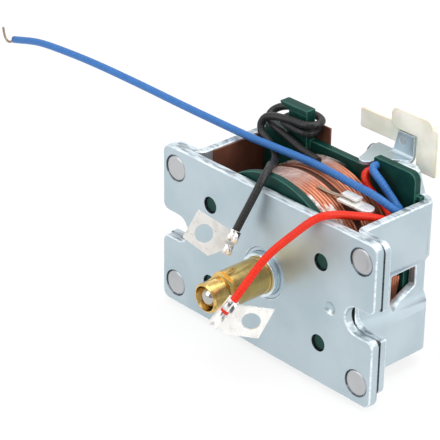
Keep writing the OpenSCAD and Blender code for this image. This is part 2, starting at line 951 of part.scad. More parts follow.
// sheet of the lever seen from above: round tip, waist beside the tab, wide rear
module lever_plan() {
    translate([tip_x, tip_y])
        circle(tip_r);
    polygon([
        [sheet_left, finger_y],
        [sheet_left, sheet_wide_y],
        [tip_x - tip_r, tip_y],
        [tip_x + tip_r, tip_y],
        [sheet_waist, sheet_waist_y],
        [sheet_right, sheet_wide_y],
        [sheet_right, finger_y]
    ]);
}

module lever_sheet() {
    intersection() {
        rotate([90, 0, 90])
            linear_extrude(sheet_right + lap)
                lever_profile();
        translate([0, 0, tongue_z - lap])
            linear_extrude(sheet_top - tongue_z + 2 * lap)
                lever_plan();
        // the upright stands on the right half only, and its left side leans
        slab(tip_y - tip_r - lap, finger_y)
            polygon([
                [0, tongue_z - lap],
                [sheet_right, tongue_z - lap],
                [sheet_right, sheet_top],
                [sheet_top_x, sheet_top],
                [sheet_knee_x, sheet_knee],
                [0, sheet_knee]
            ]);
    }
    // the left half runs on flat
    box(sheet_left, sheet_knee_x, finger_y - sheet_bend_r - lever_t - lap, finger_y, tongue_z, sheet_knee);
}

module release_lever() {
    color([0.71, 0.78, 0.82])
        place()
            difference() {
                union() {
                    lever_sheet();
                    // hub on the pivot pin, and the lug that joins it to the sheet
                    translate([tongue_x, pivot_y, pivot_z])
                        rotate([0, 90, 0])
                            cylinder(r = hub_r, h = tongue_w);
                    box(tongue_x, tongue_end, upright_y, finger_y, pivot_z, sheet_knee);
                    // web down to the arm
                    box(tongue_x, tongue_end, pivot_y, arm_end, pivot_z - arm_web, pivot_z + lap);
                    // arm that the striker disc pulls forward
                    slab(arm_y, arm_end)
                        polygon([
                            [tongue_x, pivot_z],
                            [tongue_end, pivot_z],
                            [tongue_end, arm_knee],
                            [arm_half, arm_low],
                            [-arm_half, arm_low],
                            [-arm_half, arm_low + arm_tip_h],
                            [tongue_x, arm_knee + arm_rise]
                        ]);
                    translate([lap - arm_half, arm_end, pad_z])
                        rotate([0, 90, 0])
                            cylinder(r = pad_r, h = 2 * (arm_half - lap));
                }
                translate([tongue_x - lap, pivot_y, pivot_z])
                    rotate([0, 90, 0])
                        cylinder(r = hub_bore_r, h = tongue_w + 2 * lap);
                translate([finger_stud_x, 0, finger_stud_z])
                    rod(finger_stud_r, upright_y - lap, finger_y + lap);
            }
}

module trip_finger() {
    color([0.89, 0.87, 0.80])
        place()
            difference() {
                union() {
                    // bar behind the lever's sheet
                    slab(finger_y, finger_back)
                        round_rect(finger_left, bar_right, bar_low, bar_top, bar_r);
                    // bridge over the sheet, and the leg beside it
                    slab(bridge_front, bridge_back) {
                        round_rect(bridge_left, finger_right, bridge_low, finger_top, bridge_r);
                        round_rect(finger_right - leg_w, finger_right, finger_low, finger_top, bridge_r);
                        round_rect(finger_right - leg_w, leg_right, finger_low, leg_top, bar_r);
                    }
                }
                translate([finger_stud_x, 0, finger_stud_z])
                    rod(finger_stud_r, finger_y - lap, finger_back + lap);
            }
}

module finger_rivet() {
    color([0.70, 0.77, 0.80])
        place()
            translate([finger_stud_x, 0, finger_stud_z]) {
                rod(finger_stud_r, upright_y, finger_back + finger_head_t / 2);
                translate([0, finger_back, 0])
                    rotate([-90, 0, 0])
                        cylinder(r1 = finger_head_r, r2 = finger_stud_r, h = finger_head_t);
            }
}

function unit(v) = v / norm(v);

function tangent(route, i) = unit(route[min(i + 1, len(route) - 1)] - route[max(i - 1, 0)]);

// side vector of each ring, carried along the route without twist
function ring_sides(route, i, last) =
    let (t = tangent(route, i), s = unit(last - t * (last * t)))
    i == len(route) - 1 ? [s] : concat([s], ring_sides(route, i + 1, s));

// round tube along a route
module lead_tube(route, r, count) {
    sides = ring_sides(route, 0, [0.1, 0.2, 1]);
    points = [for (k = [0 : len(route) - 1])
        let (s = sides[k], b = cross(tangent(route, k), s))
        for (i = [0 : count - 1])
            let (a = 360 * i / count)
            route[k] + r * (cos(a) * s + sin(a) * b)];
    polyhedron(points, tube_faces(len(route), count), convexity = 10);
}

module blue_lead() {
    color([0.22, 0.45, 0.80])
        place()
            lead_tube(blue_route, lead_r, 8);
}

module blue_wire_end() {
    color([0.78, 0.49, 0.33])
        place()
            lead_tube(wire_route, wire_r, 6);
}

module red_lead() {
    color([0.93, 0.17, 0.10])
        place()
            lead_tube(red_route, lead_r, 8);
}

module black_lead() {
    color([0.16, 0.15, 0.15])
        place()
            lead_tube(black_route, lead_r, 8);
}

// flag terminal: flat flag with a hole, crimp along the given angle from the local origin
module flag_terminal(outline, hole, angle, crimp_len) {
    inner_grip_len = crimp_len - grip_len - inner_grip_gap - inner_grip_end;
    difference() {
        union() {
            translate([0, 0, -crimp_r])
                linear_extrude(flag_t)
                    polygon(outline);
            rotate([0, 0, angle]) {
                translate([0, -strap_w / 2, -crimp_r])
                    cube([crimp_len, strap_w, flag_t]);
                rotate([0, 90, 0])
                    cylinder(r = crimp_r, h = grip_len);
                translate([grip_len + inner_grip_gap, 0, -inner_grip_drop])
                    rotate([0, 90, 0])
                        cylinder(r = inner_grip_r, h = inner_grip_len);
            }
        }
        translate([hole[0], hole[1], -crimp_r - lap])
            cylinder(r = flag_hole_r, h = flag_t + 2 * lap);
        rotate([0, 0, angle])
            translate([-lap, 0, 0])
                rotate([0, 90, 0])
                    cylinder(r = lead_seat_r, h = lead_seat_len + lap);
    }
}

module black_terminal() {
    color([0.86, 0.86, 0.84])
        place()
            translate(black_route[len(black_route) - 2])
                rotate([black_tilt, 0, flag_turn])
                    flag_terminal(black_outline, black_hole, black_crimp_turn, black_crimp_len);
}

module red_terminal() {
    color([0.86, 0.86, 0.84])
        place()
            translate(red_route[len(red_route) - 2])
                rotate([90, 0, flag_turn])
                    flag_terminal(red_outline, red_hole, red_crimp_turn, red_crimp_len);
}

module splice_clip() {
    back = divider_y + clip_back;
    color([0.85, 0.85, 0.83])
        place()
            translate([0, 0, divider_top]) {
                // strip with a round end
                linear_extrude(clip_t) {
                    translate([clip_left, back - clip_w])
                        square([clip_len - clip_w / 2, clip_w]);
                    translate([clip_left + clip_len - clip_w / 2, back - clip_w / 2])
                        circle(clip_w / 2);
                }
                // wing folded over the wire ends
                box(clip_left, clip_left + wing_len, back - clip_t, back, 0, wing_h);
                box(clip_left, clip_left + wing_len, back - wing_w, back, wing_h - clip_t, wing_h);
            }
}

front_plate();
yoke_frame();
plate_rivets();
coil_bobbin();
pull_in_winding();
hold_in_winding();
front_film();
rear_film();
coil_divider();
insulation_board();
pole_core();
guide_tube();
rear_bush();
plunger();
push_sleeve();
thrust_ball();
return_spring();
striker_disc();
retaining_ring();
lever_bracket();
bracket_rivets();
lever_pin();
pin_clip();
release_lever();
trip_finger();
finger_rivet();
splice_clip();
blue_lead();
blue_wire_end();
red_lead();
red_terminal();
black_lead();
black_terminal();
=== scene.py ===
import json
from math import cos, hypot, pi, radians, sin

import bmesh
import bpy
import numpy as np
from mathutils import Matrix, Vector, noise


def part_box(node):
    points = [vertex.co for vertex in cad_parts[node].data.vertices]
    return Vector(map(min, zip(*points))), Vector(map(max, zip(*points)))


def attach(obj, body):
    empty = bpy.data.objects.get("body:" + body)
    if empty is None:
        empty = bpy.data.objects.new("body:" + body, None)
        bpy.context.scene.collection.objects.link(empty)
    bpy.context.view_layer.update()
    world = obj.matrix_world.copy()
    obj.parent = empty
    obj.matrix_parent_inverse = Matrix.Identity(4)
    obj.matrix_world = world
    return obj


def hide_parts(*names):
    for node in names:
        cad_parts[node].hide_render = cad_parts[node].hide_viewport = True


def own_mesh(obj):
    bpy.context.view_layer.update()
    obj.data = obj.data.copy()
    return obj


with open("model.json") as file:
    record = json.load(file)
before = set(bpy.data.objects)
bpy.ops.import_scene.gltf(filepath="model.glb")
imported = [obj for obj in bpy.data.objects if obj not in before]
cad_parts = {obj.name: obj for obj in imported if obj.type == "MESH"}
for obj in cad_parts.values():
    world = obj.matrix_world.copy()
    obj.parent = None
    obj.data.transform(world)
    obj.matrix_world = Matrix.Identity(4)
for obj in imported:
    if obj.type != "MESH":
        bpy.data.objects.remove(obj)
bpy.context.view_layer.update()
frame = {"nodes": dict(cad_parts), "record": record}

# Studio: a pale floor under soft lamps, and the camera at the photograph's angle.
# The floor is matt, looks almost white from the camera and in reflections, and keeps the shadow.
# The room is white too, and a little darker low down on the side where the camera stands.


def tint(red, green, blue):
    """A colour as it is seen, in steps of 255, for a shader's socket."""
    steps = [c / 255 for c in (red, green, blue)]
    linear = [c / 12.92 if c < 0.04045 else ((c + 0.055) / 1.055) ** 2.4 for c in steps]
    return (*linear, 1.0)


class Line:
    """A value that runs between nodes. Sums and products of lines add Math nodes."""

    def __init__(self, finish, socket):
        self.finish = finish
        self.socket = socket

    def math(self, operation, first, second):
        return self.finish.node("Math", {"operation": operation}, {0: first, 1: second})

    def __add__(self, other):
        return self.math("ADD", self, other)

    def __radd__(self, other):
        return self.math("ADD", other, self)

    def __sub__(self, other):
        return self.math("SUBTRACT", self, other)

    def __rsub__(self, other):
        return self.math("SUBTRACT", other, self)

    def __mul__(self, other):
        return self.math("MULTIPLY", self, other)

    def __rmul__(self, other):
        return self.math("MULTIPLY", other, self)

    def above(self, other):
        return self.math("MAXIMUM", self, other)

    def sine(self):
        return self.math("SINE", self, 0.0)

    def beside(self, output):
        """Another output of the same node."""
        return Line(self.finish, self.socket.node.outputs[output])


class Finish:
    """The nodes of one finish. node() adds any node: its settings first, then its sockets."""

    def __init__(self, name, holder=None):
        self.material = holder or bpy.data.materials.new(name)
        self.material.use_nodes = True
        self.tree = self.material.node_tree
        self.shader = self.tree.nodes.get("Principled BSDF") or self.tree.nodes.get("Background")

    def node(self, kind, settings, sockets, output=0):
        made = self.tree.nodes.new("ShaderNode" + kind)
        for key, value in settings.items():
            setattr(made, key, value)
        for key, value in sockets.items():
            self.join(made.inputs[key], value)
        return Line(self, made.outputs[output])

    def join(self, socket, value):
        if isinstance(value, Line):
            self.tree.links.new(value.socket, socket)
        else:
            socket.default_value = value

    def mix(self, share, first, second):
        return self.node("Mix", {"data_type": "RGBA"}, {0: share, 6: first, 7: second}, 2)

    def noise(self, scale, detail, stretch=(1, 1, 1)):
        """Cloudy values over the part, in its own metres, stretched for streaks."""
        here = self.node("TexCoord", {}, {}, "Object")
        there = self.node("Mapping", {}, {"Vector": here, "Scale": stretch})
        return self.node("TexNoise", {}, {"Vector": there, "Scale": scale, "Detail": detail})

    def step(self, value, low, high):
        """0 below low, 1 above high, smooth between."""
        return self.node(
            "MapRange",
            {"interpolation_type": "SMOOTHSTEP"},
            {"Value": value, "From Min": low, "From Max": high},
        )

    def bump(self, height, depth):
        return self.node("Bump", {}, {"Height": height, "Strength": 1.0, "Distance": depth})

    def seen(self):
        """1 for rays from the camera, for reflections and for what shows through clear pieces."""
        ray = self.node("LightPath", {}, {}, "Is Camera Ray")
        return ray.above(ray.beside("Is Glossy Ray")).above(ray.beside("Is Transmission Ray"))

    def shade(self, sockets):
        for key, value in sockets.items():
            self.join(self.shader.inputs[key], value)
        return self.material


white = (1.0, 1.0, 1.0, 1.0)
floor_size = 6.0
floor_glow = 0.8
bpy.ops.mesh.primitive_plane_add(size=floor_size)
floor = bpy.context.object
floor.name = "studio_floor"
paint = Finish("pale_floor")
paint.shade({"Base Color": tint(250, 250, 250), "Roughness": 0.9, "Specular IOR Level": 0.1})
matt = Line(paint, paint.shader.outputs[0])
glow = paint.node("Emission", {}, {"Color": white, "Strength": 1.0})
blend = paint.node("MixShader", {}, {0: paint.seen() * floor_glow, 1: matt, 2: glow})
paint.join(paint.tree.nodes["Material Output"].inputs["Surface"], blend)
floor.data.materials.append(paint.material)

room_light = 0.55
seen_gain = 0.4
dusk_loss = 0.55
camera_side = (0.68, -0.70, 0.22)
room = Finish("studio", bpy.data.worlds.new("studio"))
bpy.context.scene.world = room.material
ray_way = room.node("TexCoord", {}, {}, "Generated")
facing = room.node("VectorMath", {"operation": "DOT_PRODUCT"}, {0: ray_way, 1: camera_side}, 1)
dusk = room.step(facing, 0.45, 0.95)
brightness = room_light + room.seen() * (seen_gain - dusk * dusk_loss)
room.shade({"Color": white, "Strength": brightness})


def lamp(name, place, target, size, power):
    """A square soft box that faces the target."""
    light = bpy.data.lights.new(name, "AREA")
    light.size = size
    light.energy = power
    box = bpy.data.objects.new(name, light)
    bpy.context.collection.objects.link(box)
    box.location = place
    box.rotation_euler = (Vector(target) - Vector(place)).to_track_quat("-Z", "Y").to_euler()


part_middle = (0.0, 0.0, 0.03)
lamp("top_box", (0.05, 0.1, 0.9), part_middle, size=0.9, power=6.0)
lamp("right_box", (0.8, 0.1, 0.5), part_middle, size=0.6, power=4.0)
lamp("front_box", (-0.25, -0.8, 0.45), part_middle, size=0.6, power=3.0)

eye_place = (0.37081, -0.37265, 0.31394)
azimuth = radians(47.32)
elevation = radians(27.63)
roll = radians(0.72)
camera = bpy.data.cameras.new("camera")
camera.sensor_width = 36.0
camera.lens = 170.99
camera.clip_start = 0.01
eye = bpy.data.objects.new("camera", camera)
bpy.context.collection.objects.link(eye)
eye.matrix_world = (
    Matrix.Translation(eye_place)
    @ Matrix.Rotation(azimuth, 4, "Z")
    @ Matrix.Rotation(pi / 2 - elevation, 4, "X")
    @ Matrix.Rotation(roll, 4, "Z")
)
bpy.context.scene.camera = eye
bpy.context.scene.view_settings.view_transform = "Standard"

# Bobbin: dark green moulded thermoset with two flanges, a cleat post, a lead tab and four pegs.
# It is moulded in one piece. Its edges have the small round of the mould, painted paler as a
# highlight.

mm = 0.001
bodies = frame["record"]["behaviour"]["bodies"]
body_of = {node: body for body, nodes in bodies.items() for node in nodes}
slot_of = {part["node"]: part["material_slot"] for part in frame["record"]["subparts"]}
sharp_bend = radians(35)
sharp_bend_on_round = radians(50)


def piece_on(body, name, shell, slot, *materials):
    """A mesh in the making becomes a smooth piece that rides on the body."""
    mesh = bpy.data.meshes.new(name)
    shell.to_mesh(mesh)
    shell.free()
    if "custom_normal" in mesh.attributes:
        mesh.attributes.remove(mesh.attributes["custom_normal"])
    mesh.shade_smooth()
    for material in materials:
        mesh.materials.append(material)
    piece = bpy.data.objects.new(name, mesh)
    bpy.context.collection.objects.link(piece)
    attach(piece, body)
    return piece


def keep(name, shell, node, *materials):
    """A piece that stands for the node and rides on its body, with sharp bends and even flats."""
    for edge in shell.edges:
        on_round = any(face.material_index for face in edge.link_faces)
        bend = sharp_bend_on_round if on_round else sharp_bend
        edge.smooth = edge.calc_face_angle(0.0) < bend
    piece = piece_on(body_of[node], name, shell, slot_of[node], *materials)
    even = piece.modifiers.new("even_normals", "WEIGHTED_NORMAL")
    even.keep_sharp = True
    even.weight = 95
    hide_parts(node)
    return piece


fine_weld = 0.002 * mm
wide_weld = 0.1 * mm
flat_bend = radians(0.5)
corner_bend = radians(60)


def near_any(place, holes):
    """Whether a place lies within the reach of a hole. Each hole is an x, a z and a reach."""
    return any(hypot(place.x - x, place.z - z) < reach for x, z, reach in holes)


def solid_shell(node, radius, wide=False, holes=()):
    """A copy of a solid's mesh with its sharp edges rounded. The rounds take the second material.

    For a wide round, points that lie close are joined first, so that no tiny edge is in its way.
    Edges at the holes stay sharp."""
    shell = bmesh.new()
    shell.from_mesh(frame["nodes"][node].data)
    bmesh.ops.remove_doubles(shell, verts=shell.verts, dist=wide_weld if wide else fine_weld)
    bmesh.ops.dissolve_limit(
        shell, angle_limit=flat_bend, verts=shell.verts, edges=shell.edges, delimit={"NORMAL"}
    )
    for face in shell.faces:
        face.material_index = 0
    edges = []
    for edge in shell.edges:
        middle = (edge.verts[0].co + edge.verts[1].co) / 2
        is_corner = edge.is_manifold and edge.calc_face_angle() > corner_bend
        if is_corner and not near_any(middle, holes):
            edges.append(edge)
    bmesh.ops.bevel(
        shell, geom=edges, offset=radius, segments=2, profile=0.5, affect="EDGES",
        clamp_overlap=not wide, material=1,
    )
    bmesh.ops.holes_fill(shell, edges=[edge for edge in shell.edges if edge.is_boundary])
    return shell


def rounded(node, radius, face, edge=None, wide=False):
    """The solid's copy as a piece, with one finish on its faces and another along its edges."""
    keep(node + "_finished", solid_shell(node, radius, wide), node, face, edge or face)


def moulded(name, dark, pale):
    """Filled thermoset: mottled and a little rough, with fine specks."""
    green = Finish(name)
    mottle = green.noise(450, 5)
    speck = green.noise(2600, 2)
    return green.shade(
        {
            "Base Color": green.mix(mottle, dark, pale),
            "Roughness": 0.34 + mottle * 0.2,
            "Specular IOR Level": 0.18,
            "Normal": green.bump(mottle * 0.6 + speck * 0.4, 0.06 * mm),
        }
    )


green_face = moulded("green_thermoset", tint(6, 40, 36), tint(16, 68, 59))
# The paler finish on the rounded edges is a painted highlight.
green_edge_highlight = moulded("green_edge_highlight", tint(24, 72, 63), tint(62, 110, 98))
rounded("coil_bobbin", 0.25 * mm, green_face, green_edge_highlight, wide=True)

# Windings: enamelled copper wire, wound in even turns between the flanges.
# The turns are real wire, a little uneven as hand-guided wire is, round a core painted dark as the
# shade between the turns.
# The last turn of the front winding laps over the rim of the divider.

axis_z = sum(corner[2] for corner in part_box("thrust_ball")) / 2
wire_turns = 9
turn_steps = 110
wire_sides = 8
wire_share = 0.485
drift_share = 0.06
lift_share = 0.18
core_sides = 96
core_sink = 1.3
core_inset = 0.3 * mm
divider_lap = 1.4 * mm
first_side = (0.13, 0.27, 1.0)
wander = np.random.RandomState(7)


def round_axis(reach, y, angle):
    """A place at some reach from the plunger's axis, at an angle from +X towards +Z."""
    return (reach * cos(angle), y, axis_z + reach * sin(angle))


def full_turn(count):
    """Angles that share out a full turn."""
    return [2 * pi * k / count for k in range(count)]


def tube_rings(path, radius, sides):
    """Rings of points round a path, carried along it without twist."""
    rings = []
    side = Vector(first_side)
    for i, point in enumerate(path):
        along = (path[min(i + 1, len(path) - 1)] - path[max(i - 1, 0)]).normalized()
        side = (side - along * side.dot(along)).normalized()
        across = along.cross(side)
        rings.append([point + radius * (cos(a) * side + sin(a) * across) for a in full_turn(sides)])
    return rings


def add_skin(shell, rows, run, material=0, closed=True):
    """Joins rows of points to a closed tube or an open sheet. A UV map holds each row's run
    and the share of the way round or across."""
    uv = shell.loops.layers.uv.verify()
    count = len(rows[0])
    columns = count if closed else count - 1
    grid = [[shell.verts.new(point) for point in row] for row in rows]
    faces = []
    for i in range(len(grid) - 1):
        for k in range(columns):
            n = (k + 1) % count
            face = shell.faces.new((grid[i][k], grid[i][n], grid[i + 1][n], grid[i + 1][k]))
            corners = ((run[i], k), (run[i], k + 1), (run[i + 1], k + 1), (run[i + 1], k))
            for loop, (u, v) in zip(face.loops, corners):
                loop[uv].uv = (u, v / columns)
            faces.append(face)
    if closed:
        faces.append(shell.faces.new(list(reversed(grid[0]))))
        faces.append(shell.faces.new(grid[-1]))
    for face in faces:
        face.material_index = material


def add_tube(shell, path, radius, sides, material=0):
    """A round tube along a path, closed at both ends."""
    path = [Vector(p) for p in path]
    run = [0.0]
    for a, b in zip(path, path[1:]):
        run.append(run[-1] + (b - a).length)
    add_skin(shell, tube_rings(path, radius, sides), run, material)


def copper_finish(name, dark, pale, metal):
    """Copper wire under clear enamel, with scuffs along the turns."""
    copper = Finish(name)
    tone = copper.noise(260, 3, (1, 3, 1))
    scuff = copper.noise(1500, 3, (0.2, 1, 0.2))
    return copper.shade(
        {
            "Base Color": copper.mix(tone, dark, pale),
            "Metallic": metal,
            "Roughness": 0.28 + scuff * 0.2,
            "Coat Weight": 0.5,
            "Coat Roughness": 0.15,
            "Normal": copper.bump(scuff, 0.02 * mm),
        }
    )


def at_turn(values, turn):
    """What a list with one value for each turn says at a place between two of them."""
    whole = int(turn)
    share = turn - whole
    return values[whole] * (1 - share) + values[whole + 1] * share


def wound(node, lap=0.0):
    """The turns of one winding on their core. lap is how far they go on over the divider's rim."""
    low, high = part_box(node)
    front, back = low[1], high[1] + lap
    outer = (high[0] - low[0]) / 2
    pitch = (back - front) / wire_turns
    wire_r = pitch * wire_share
    drift = wander.uniform(-drift_share, drift_share, wire_turns + 2) * pitch
    lift = wander.uniform(0.0, lift_share, wire_turns + 2) * wire_r
    path = []
    for step in range(wire_turns * turn_steps + 1):
        turn = step / turn_steps
        y = front + wire_r + (back - front - 2 * wire_r) * turn / wire_turns
        reach = outer - wire_r - at_turn(lift, turn)
        path.append(round_axis(reach, y + at_turn(drift, turn), 2 * pi * turn))
    shell = bmesh.new()
    add_tube(shell, path, wire_r, wire_sides)
    # The core is painted dark brown, as painted shade in the gaps between the turns.
    core = [(0, front + core_inset, axis_z), (0, back - core_inset, axis_z)]
    add_tube(shell, core, outer - wire_r * core_sink, core_sides, 1)
    keep(node + "_turns", shell, node, copper_wire, core_painted_shade)


copper_wire = copper_finish("enamelled_copper", tint(150, 76, 48), tint(206, 134, 100), 0.75)
# The core's finish is painted shade, seen between the turns.
core_painted_shade = copper_finish("shaded_core", tint(52, 26, 16), tint(92, 46, 30), 0.3)
wound("pull_in_winding", divider_lap)
wound("hold_in_winding")

# Films: clear polyester film wrapped round part of each winding, with a torn, crinkled first edge.
# Offcuts of the same film stand up beside the splice, where the lead-out wires were taped down.

coil_low, coil_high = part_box("pull_in_winding")
coil_r = (coil_high[0] - coil_low[0]) / 2
plate_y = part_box("front_plate")[0][1]
film_gap = 0.06 * mm
film_across = 14
film_around_least = 8
film_degrees = 2
film_end = 178
broad_folds = (9, 420)
fine_folds = (23, 900)
fine_share = 0.6
tears_across = 5.0


def crinkle(angle, y, grain):
    """Height of the film's folds, from 0 to 1: broad ones with finer ones on them."""
    broad = noise.noise(Vector((angle * broad_folds[0], y * broad_folds[1], grain)))
    fine = noise.noise(Vector((angle * fine_folds[0], y * fine_folds[1], grain + 5.0)))
    return 0.5 + 0.5 * max(-1.0, min(1.0, broad + fine_share * fine))


def add_film(shell, start, end, front, back, lift, torn, grain):
    """A crinkled sheet on the winding between two angles. torn is how ragged its first edge is."""
    around = max(film_around_least, int(abs(end - start) / film_degrees))
    run = [i / around for i in range(around + 1)]
    rows = []
    for u in run:
        row = []
        for j in range(film_across + 1):
            v = j / film_across
            rag = torn * (1 - u) * noise.noise(Vector((v * tears_across, 3.1, grain)))
            angle = radians(start + (end - start) * u + rag)
            y = front + (back - front) * v
            row.append(round_axis(coil_r + film_gap + lift * crinkle(angle, y, grain), y, angle))
        rows.append(row)
    add_skin(shell, rows, run, closed=False)


def film_finish(name, colour, clear, haze, fade):
    """Clear film: gloss with creases, and a haze that fades out towards its first edge. The haze
    thickens at the creases, as painted highlights.
    """
    film = Finish(name)
    crease = film.noise(330, 4, (1, 0.6, 1))
    along = film.node("SeparateXYZ", {}, {0: film.node("TexCoord", {}, {}, "UV")})
    # The film's own haze, plus painted highlights along the creases.
    haze_and_crease_highlight = film.step(along, 0.0, fade) * (clear + film.step(crease, 0.35, 0.7) * haze)
    return film.shade(
        {
            "Base Color": colour,
            "Roughness": 0.1 + crease * 0.2,
            "Alpha": haze_and_crease_highlight,
            "Normal": film.bump(crease, 0.3 * mm),
        }
    )


# The haze along the creases here is painted highlight.
clear_film = film_finish("clear_film", tint(224, 206, 200), clear=0.3, haze=0.35, fade=0.22)
for node, start, grain in (("front_film", 72, 1.0), ("rear_film", 76, 9.0)):
    low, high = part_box(node)
    shell = bmesh.new()
    add_film(shell, start, film_end, low[1], high[1], lift=0.22 * mm, torn=9.0, grain=grain)
    keep(node + "_sheet", shell, node, clear_film)

# The offcuts are painted almost opaque white at their creases, as painted highlights.
scrap_film = film_finish("scrap_film", tint(246, 240, 236), clear=0.15, haze=0.75, fade=0.12)
scraps = [
    (72, 56, 6.0, 8.8, 0.4, 6.0, 21.0),
    (60, 40, 8.2, 12.2, 0.5, 8.0, 33.0),
]
shell = bmesh.new()
for start, end, front, back, lift, torn, grain in scraps:
    add_film(shell, start, end, plate_y + front * mm, plate_y + back * mm, lift * mm, torn, grain)
piece_on("frame", "film_scraps", shell, "film", scrap_film)

# Inner pieces: the fixed pole core in the plate, the guide tube on it and the rear bush.
# The core is zinc plated steel and the others are brass, all turned and pressed together.


def turned_finish(name, dark, pale, roughness):
    """Turned metal: fine rings from the tool, along the axis."""
    metal = Finish(name)
    rings = metal.noise(1800, 3, (0.05, 1, 0.05))
    cloud = metal.noise(220, 3)
    return metal.shade(
        {
            "Base Color": metal.mix(cloud * 0.6 + rings * 0.4, dark, pale),
            "Metallic": 1.0,
            "Roughness": roughness + rings * 0.12,
            "Normal": metal.bump(rings, 0.02 * mm),
        }
    )


turned_zinc = turned_finish("turned_zinc", tint(168, 184, 193), tint(196, 209, 216), 0.3)
brass = turned_finish("turned_brass", tint(172, 132, 62), tint(250, 216, 142), 0.16)
rounded("pole_core", 0.15 * mm, turned_zinc)
rounded("guide_tube", 0.1 * mm, brass)
rounded("rear_bush", 0.2 * mm, brass)

# Boards: dark varnished divider between the windings, and brown pressboard inside the yoke.
# Both are stamped from fibre board, so their faces are mottled and their edges dull.


def board_finish(name, dark, pale, roughness):
    """Pressed fibre board: stains, and fibres that run up the board."""
    board = Finish(name)
    fibre = board.noise(700, 5, (1, 1, 0.25))
    stain = board.noise(120, 3)
    return board.shade(
        {
            "Base Color": board.mix(stain * 0.6 + fibre * 0.4, dark, pale),
            "Roughness": roughness + fibre * 0.2,
            "Normal": board.bump(fibre, 0.05 * mm),
        }
    )


dark_board = board_finish("dark_board", tint(44, 26, 20), tint(98, 58, 42), 0.45)
brown_board = board_finish("brown_board", tint(50, 28, 20), tint(122, 74, 54), 0.3)
brown_edge = board_finish("brown_edge", tint(112, 70, 52), tint(150, 104, 82), 0.5)
rounded("coil_divider", 0.2 * mm, dark_board)
rounded("insulation_board", 0.08 * mm, brown_board, brown_edge)

# Plate and yoke: cut from rolled steel, bent, and zinc plated with a blue passivation.
# The plating is cloudy and satin with faint rolling lines, and scraped along the cut edges. The
# rounded edges are painted lighter, partly rubbed metal and partly a painted highlight.
# Painted shade darkens the seam between the two pieces and the walls of the peg holes.

plate_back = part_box("front_plate")[1][1]
plate_round = 0.4 * mm
seam_depth = 0.6 * mm
rivet_r = 3.9 * mm
rivet_reach = 5.0 * mm
peg_x = 22.5 * mm
peg_z = 12.8 * mm
peg_reach = 3.0 * mm
rivet_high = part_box("plate_rivets")[1]
rivet_x = rivet_high[0] - rivet_r
rivet_z = rivet_high[2] - rivet_r - axis_z
corners = [(x, z) for x in (-1, 1) for z in (-1, 1)]
rivet_holes = [(x * rivet_x, axis_z + z * rivet_z, rivet_reach) for x, z in corners]
peg_holes = [(x * peg_x, axis_z + z * peg_z, peg_reach) for x, z in corners]


def zinc_finish(name, dark, pale, stretch):
    """Satin zinc plating: broad clouds, a fine grain and rolling lines along the stretch."""
    zinc = Finish(name)
    cloud = zinc.noise(55, 4)
    fine = zinc.noise(900, 4)
    rolled = zinc.noise(420, 3, stretch)
    colour = zinc.mix(zinc.step(cloud, 0.3, 0.7), dark, pale)
    return zinc.shade(
        {
            "Base Color": zinc.mix(fine * 0.35, colour, pale),
            "Metallic": 0.88,
            "Roughness": 0.28 + cloud * 0.12 + fine * 0.08,
            "Normal": zinc.bump(rolled * 0.7 + fine * 0.3, 0.03 * mm),
        }
    )


def scraped_finish(name, dark, pale):
    """A cut edge: bright where it is rubbed, with short dark scrapes."""
    edge = Finish(name)
    scrape = edge.noise(760, 5, (0.3, 1, 2))
    return edge.shade(
        {
            "Base Color": edge.mix(edge.step(scrape, 0.34, 0.6), dark, pale),
            "Metallic": 0.4,
            "Roughness": 0.3 + scrape * 0.2,
            "Normal": edge.bump(scrape, 0.04 * mm),
        }
    )


plate_zinc = zinc_finish("plate_zinc", tint(170, 187, 195), tint(187, 201, 208), (0.06, 1, 1))
# The yoke's zinc is painted a little lighter than the plate's, as painted light on its more
# brightly lit walls.
lit_yoke_zinc = zinc_finish("lit_yoke_zinc", tint(174, 190, 198), tint(190, 203, 210), (1, 0.06, 1))
# The bright edge is partly rubbed metal and partly a painted highlight on the rounds.
rubbed_edge_highlight = scraped_finish("rubbed_edge_highlight", tint(186, 200, 208), tint(224, 233, 238))
sheared_edge = scraped_finish("sheared_edge", tint(128, 140, 148), tint(206, 217, 223))
# Painted shade for the seam and the peg holes, and a scraped painted shade for the seam's upper
# faces.
seam_and_hole_shade = scraped_finish("seam_and_hole_shade", tint(26, 30, 34), tint(70, 78, 84))
scraped_seam_shade = scraped_finish("scraped_seam_shade", tint(24, 28, 32), tint(140, 152, 160))
at_edge_highlight, at_sheared, at_painted_shade, at_seam_top_shade = 1, 2, 3, 4
level = 0.95
upward = 0.5
sideways = 0.5
small_face = 60 * mm * mm


def plated(node, face):
    """The solid's copy with edges painted lighter as a highlight, sheared tops, and painted shade
    in the seam and on the peg holes' walls.
    """
    shell = solid_shell(node, plate_round, wide=True, holes=rivet_holes + peg_holes)
    for side in shell.faces:
        middle = side.calc_center_median()
        in_seam = abs(middle.y - plate_back) < seam_depth
        in_hole = middle.y < plate_back and near_any(middle, peg_holes)
        # Seam faces and peg-hole walls get painted shade.
        if side.material_index == at_edge_highlight and in_seam:
            side.material_index = at_seam_top_shade if side.normal.z > upward else at_painted_shade
        elif in_hole and abs(side.normal.y) < sideways:
            side.material_index = at_painted_shade
        elif side.normal.z > level:
            side.material_index = at_sheared
        # Small faces that look up take the bright edge, partly a painted highlight.
        elif side.normal.z > upward and side.calc_area() < small_face:
            side.material_index = at_edge_highlight
    keep(node + "_finished", shell, node, face, rubbed_edge_highlight, sheared_edge, seam_and_hole_shade, scraped_seam_shade)


plated("yoke_frame", lit_yoke_zinc)
plated("front_plate", plate_zinc)

# Rivets of the plate: zinc plated steel, swaged flat into the plate's counterbores.
# A round groove stays open round each head, and its face is a little pinker than the plate.
# The profile gives radius and depth below the plate's face, in millimetres, from head to tail.

